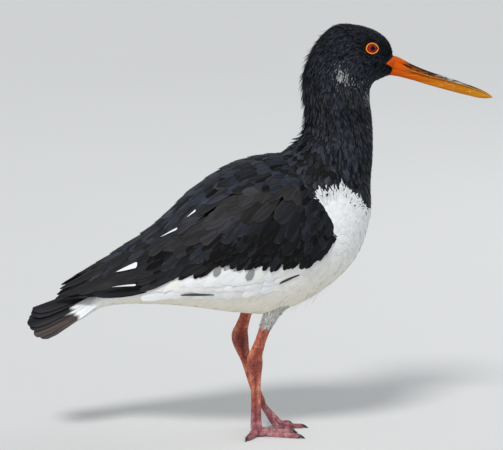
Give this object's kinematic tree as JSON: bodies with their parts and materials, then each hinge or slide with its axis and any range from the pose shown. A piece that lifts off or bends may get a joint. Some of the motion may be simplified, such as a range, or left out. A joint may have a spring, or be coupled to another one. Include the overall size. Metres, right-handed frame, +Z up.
{
  "type": "eurasian oystercatcher, life-size standing model",
  "caption": "Life-size standing wading bird, black above and white below, with a long straight orange bill, red eyes and bare pink legs, one foot on its toe tips.",
  "frame": {"origin": "on the floor, under the middle of the bird's box", "axes": "+X the way the bill points, +Y the bird's left side, +Z up"},
  "size_m": [0.3328, 0.1042, 0.2981],
  "materials": {
    "black_body": "matte",
    "white_body": "matte",
    "black_feathers": "matte",
    "bill_orange": "satin",
    "eye_red": "gloss",
    "eye_ring_orange": "satin",
    "leg_pink": "satin",
    "claw_black": "satin"
  },
  "bodies": {
    "root": {"back": "black_body", "belly": "white_body", "bill_lower": "bill_orange", "bill_upper": "bill_orange", "claw_inner_left": "claw_black", "claw_inner_right": "claw_black", "claw_middle_left": "claw_black", "claw_middle_right": "claw_black", "claw_outer_left": "claw_black", "claw_outer_right": "claw_black", "eye_left": "eye_red", "eye_right": "eye_red", "eye_ring_left": "eye_ring_orange", "eye_ring_right": "eye_ring_orange", "foot_left": "leg_pink", "foot_right": "leg_pink", "head": "black_body", "neck": "black_body", "primaries_left": "black_feathers", "primaries_right": "black_feathers", "shank_left": "leg_pink", "shank_right": "leg_pink", "tail": "black_feathers", "tarsus_left": "leg_pink", "tarsus_right": "leg_pink", "tertials_left": "black_feathers", "tertials_right": "black_feathers", "thigh_left": "white_body", "thigh_right": "white_body", "wing_left": "black_feathers", "wing_right": "black_feathers"}
  },
  "joints": []
}
